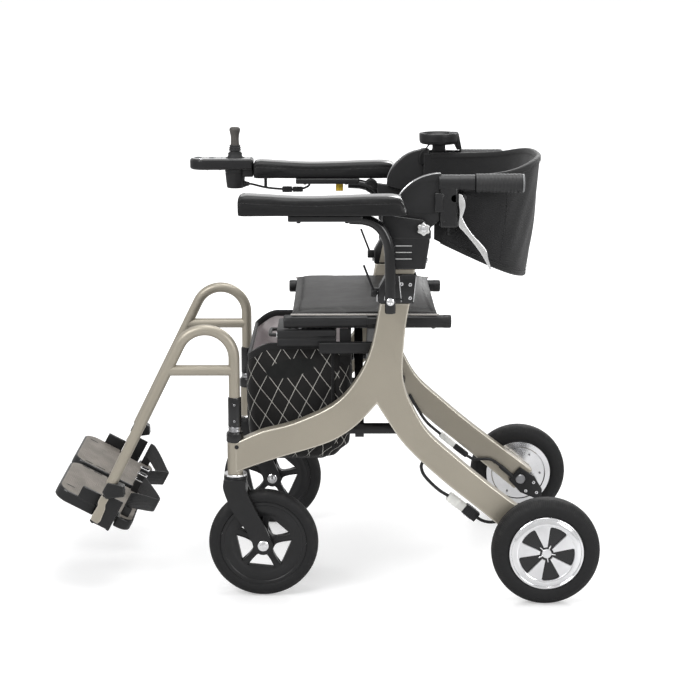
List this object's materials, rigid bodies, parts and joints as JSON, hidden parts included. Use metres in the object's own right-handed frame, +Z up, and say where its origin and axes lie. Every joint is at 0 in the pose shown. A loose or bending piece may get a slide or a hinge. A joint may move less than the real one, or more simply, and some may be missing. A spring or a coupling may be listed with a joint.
{
  "type": "electric walker",
  "caption": "Folding powered rollator with seat, sling backrest, armrests, joystick, swing-away footrests, caster front wheels and hub-motor rear wheels.",
  "frame": {"origin": "on the floor, under the middle of the overall length and width", "axes": "+X to the rider's left, +Y rearward, +Z up"},
  "size_m": [0.63, 0.9888, 0.812],
  "materials": {
    "champagne_paint": "satin champagne paint on alloy",
    "black_metal": "satin black paint on alloy",
    "black_steel": "black powder coat",
    "black_plastic": "moulded black plastic",
    "tyre_rubber": "black tread",
    "hub_alloy": "polished",
    "bright_alloy": "satin cast alloy",
    "leatherette": "grained black leatherette",
    "fabric": "black woven cloth",
    "rubber": "soft black rubber",
    "deck_rubber": "grey-brown ribbed deck"
  },
  "bodies": {
    "left_side": {"left_side_frame": "champagne_paint", "left_motor_bracket": "black_metal", "left_lower_rail": "black_metal", "left_clamp_collar": "black_plastic", "battery_bracket": "black_metal", "bag": "fabric", "left_motor_lead": "rubber"},
    "brace_a": {"cross_arm_a": "black_metal", "right_seat_rail": "black_metal"},
    "brace_b": {"cross_arm_b": "black_metal", "left_seat_rail": "black_metal", "seat": "leatherette"},
    "right_side": {"right_side_frame": "champagne_paint", "right_motor_bracket": "black_metal", "right_lower_rail": "black_metal", "right_clamp_collar": "black_plastic", "right_motor_lead": "rubber"},
    "battery": {"battery": "black_plastic"},
    "left_caster": {"left_caster_fork": "black_metal"},
    "left_front_wheel": {"left_front_rim": "black_plastic", "left_front_tyre": "tyre_rubber"},
    "left_rear_wheel": {"left_hub_motor": "hub_alloy", "left_rear_tyre": "tyre_rubber"},
    "left_clamp": {"left_clamp_lever": "black_metal"},
    "left_post": {"left_post": "champagne_paint", "left_handle_bracket": "black_plastic"},
    "left_knob": {"left_star_knob": "bright_alloy"},
    "left_handle": {"left_handle_head": "black_plastic", "left_grip": "rubber", "backrest": "fabric"},
    "left_brake": {"left_brake_lever": "bright_alloy"},
    "left_armrest": {"left_arm_tube": "black_metal", "left_arm_pad": "leatherette"},
    "left_footrest": {"left_footrest": "champagne_paint"},
    "left_plate": {"left_footplate": "deck_rubber", "left_heel_strap": "fabric"},
    "right_caster": {"right_caster_fork": "black_metal"},
    "right_front_wheel": {"right_front_rim": "black_plastic", "right_front_tyre": "tyre_rubber"},
    "right_rear_wheel": {"right_hub_motor": "hub_alloy", "right_rear_tyre": "tyre_rubber"},
    "right_clamp": {"right_clamp_lever": "black_metal"},
    "right_post": {"right_post": "champagne_paint", "right_handle_bracket": "black_plastic"},
    "right_knob": {"right_star_knob": "bright_alloy"},
    "right_handle": {"right_handle_head": "black_plastic", "right_grip": "rubber", "attendant_console": "black_plastic"},
    "right_brake": {"right_brake_lever": "bright_alloy"},
    "right_armrest": {"right_arm_tube": "black_metal", "right_arm_pad": "leatherette", "joystick_box": "black_plastic", "joystick_cable": "rubber"},
    "right_footrest": {"right_footrest": "champagne_paint"},
    "right_plate": {"right_footplate": "deck_rubber", "right_heel_strap": "fabric"},
    "stick_boot": {"joystick_boot": "rubber"},
    "stick": {"joystick": "black_plastic"},
    "power_button": {"power_button": "black_plastic"},
    "speed_rocker": {"speed_rocker": "black_plastic"}
  },
  "joints": [
    {"name": "fold", "type": "hinge", "parent": "left_side", "child": "brace_a", "pos_m": [0.186, 0.06135, 0.3045], "axis": [0, 1, 0], "range_deg": [0, 41.9], "deforming": ["seat", "bag", "backrest"]},
    {"name": "brace_pin", "type": "hinge", "parent": "brace_a", "child": "brace_b", "pos_m": [0, 0.06135, 0.40375], "axis": [0, 1, 0], "range_deg": [-83.9, 0]},
    {"name": "right_rail_hinge", "type": "hinge", "parent": "brace_b", "child": "right_side", "pos_m": [-0.186, 0.08335, 0.3045], "axis": [0, 1, 0], "range_deg": [0, 42]},
    {"name": "battery_slide", "type": "slide", "parent": "left_side", "child": "battery", "axis": [0, -1, 0], "range_m": [0, 0.09]},
    {"name": "left_caster_swivel", "type": "hinge", "parent": "left_side", "child": "left_caster", "pos_m": [0.22, -0.16365, 0.23], "axis": [0, 0, 1], "continuous": true},
    {"name": "left_front_wheel_spin", "type": "hinge", "parent": "left_caster", "child": "left_front_wheel", "pos_m": [0.22, -0.11365, 0.1], "axis": [1, 0, 0], "continuous": true},
    {"name": "left_rear_wheel_spin", "type": "hinge", "parent": "left_side", "child": "left_rear_wheel", "pos_m": [0.265, 0.39635, 0.098], "axis": [1, 0, 0], "continuous": true},
    {"name": "left_clamp_lever_turn", "type": "hinge", "parent": "left_side", "child": "left_clamp", "pos_m": [0.22, 0.08735, 0.5625], "axis": [1, 0, 0], "range_deg": [0, 100]},
    {"name": "left_handle_height", "type": "slide", "parent": "left_side", "child": "left_post", "axis": [0, 0.1994, 0.9799], "range_m": [0, 0.08]},
    {"name": "left_knob_turn", "type": "hinge", "parent": "left_post", "child": "left_knob", "pos_m": [0.239, 0.17235, 0.679], "axis": [1, 0, 0], "range_deg": [-180, 180]},
    {"name": "left_handle_tilt", "type": "hinge", "parent": "left_post", "child": "left_handle", "pos_m": [0.2285, 0.17235, 0.679], "axis": [1, 0, 0], "range_deg": [-15, 30]},
    {"name": "left_brake_squeeze", "type": "hinge", "parent": "left_handle", "child": "left_brake", "pos_m": [0.2215, 0.24085, 0.731], "axis": [1, 0, 0], "range_deg": [0, 25], "stiffness_Nm_per_rad": 0.6},
    {"name": "left_armrest_lift", "type": "hinge", "parent": "left_side", "child": "left_armrest", "pos_m": [0.2615, 0.11435, 0.5545], "axis": [-1, 0, 0], "range_deg": [0, 90]},
    {"name": "left_footrest_swing", "type": "hinge", "parent": "left_side", "child": "left_footrest", "pos_m": [0.22, -0.16365, 0.289], "axis": [0, 0, 1], "range_deg": [0, 90]},
    {"name": "left_plate_flip", "type": "hinge", "parent": "left_footrest", "child": "left_plate", "pos_m": [0.186, -0.41165, 0.132], "axis": [0, 0.8829, -0.4695], "range_deg": [0, 90]},
    {"name": "right_caster_swivel", "type": "hinge", "parent": "right_side", "child": "right_caster", "pos_m": [-0.22, -0.16365, 0.23], "axis": [0, 0, 1], "continuous": true},
    {"name": "right_front_wheel_spin", "type": "hinge", "parent": "right_caster", "child": "right_front_wheel", "pos_m": [-0.22, -0.11365, 0.1], "axis": [1, 0, 0], "continuous": true},
    {"name": "right_rear_wheel_spin", "type": "hinge", "parent": "right_side", "child": "right_rear_wheel", "pos_m": [-0.265, 0.39635, 0.098], "axis": [1, 0, 0], "continuous": true},
    {"name": "right_clamp_lever_turn", "type": "hinge", "parent": "right_side", "child": "right_clamp", "pos_m": [-0.22, 0.08735, 0.5625], "axis": [1, 0, 0], "range_deg": [0, 100]},
    {"name": "right_handle_height", "type": "slide", "parent": "right_side", "child": "right_post", "axis": [0, 0.1994, 0.9799], "range_m": [0, 0.08]},
    {"name": "right_knob_turn", "type": "hinge", "parent": "right_post", "child": "right_knob", "pos_m": [-0.239, 0.17235, 0.679], "axis": [1, 0, 0], "range_deg": [-180, 180]},
    {"name": "right_handle_tilt", "type": "hinge", "parent": "right_post", "child": "right_handle", "pos_m": [-0.2285, 0.17235, 0.679], "axis": [1, 0, 0], "range_deg": [-15, 30]},
    {"name": "right_brake_squeeze", "type": "hinge", "parent": "right_handle", "child": "right_brake", "pos_m": [-0.2215, 0.24085, 0.731], "axis": [1, 0, 0], "range_deg": [0, 25], "stiffness_Nm_per_rad": 0.6},
    {"name": "right_armrest_lift", "type": "hinge", "parent": "right_side", "child": "right_armrest", "pos_m": [-0.2615, 0.11435, 0.5545], "axis": [-1, 0, 0], "range_deg": [0, 90]},
    {"name": "right_footrest_swing", "type": "hinge", "parent": "right_side", "child": "right_footrest", "pos_m": [-0.22, -0.16365, 0.289], "axis": [0, 0, -1], "range_deg": [0, 90]},
    {"name": "right_plate_flip", "type": "hinge", "parent": "right_footrest", "child": "right_plate", "pos_m": [-0.186, -0.41165, 0.132], "axis": [0, -0.8829, 0.4695], "range_deg": [0, 90]},
    {"name": "joystick_fore_aft", "type": "hinge", "parent": "right_armrest", "child": "stick_boot", "pos_m": [-0.285, -0.18665, 0.7465], "axis": [1, 0, 0], "range_deg": [-18, 18], "stiffness_Nm_per_rad": 0.05},
    {"name": "joystick_side", "type": "hinge", "parent": "stick_boot", "child": "stick", "pos_m": [-0.285, -0.18665, 0.7465], "axis": [0, 1, 0], "range_deg": [-18, 18], "stiffness_Nm_per_rad": 0.05},
    {"name": "power_button_press", "type": "slide", "parent": "right_armrest", "child": "power_button", "axis": [0, 0, -1], "range_m": [0, 0.0015], "stiffness_N_per_m": 200},
    {"name": "speed_rocker_tilt", "type": "hinge", "parent": "right_armrest", "child": "speed_rocker", "pos_m": [-0.285, -0.23265, 0.747], "axis": [1, 0, 0], "range_deg": [-6, 6], "stiffness_Nm_per_rad": 0.02}
  ],
  "couplings": [
    {"joint": "brace_pin", "follows": "fold", "ratio": -2},
    {"joint": "right_rail_hinge", "follows": "fold", "ratio": 1},
    {"joint": "left_plate_flip", "follows": "fold", "ratio": 2.147},
    {"joint": "right_plate_flip", "follows": "fold", "ratio": 2.147},
    {"joint": "right_handle_height", "follows": "left_handle_height", "ratio": 1},
    {"joint": "right_handle_tilt", "follows": "left_handle_tilt", "ratio": 1}
  ]
}
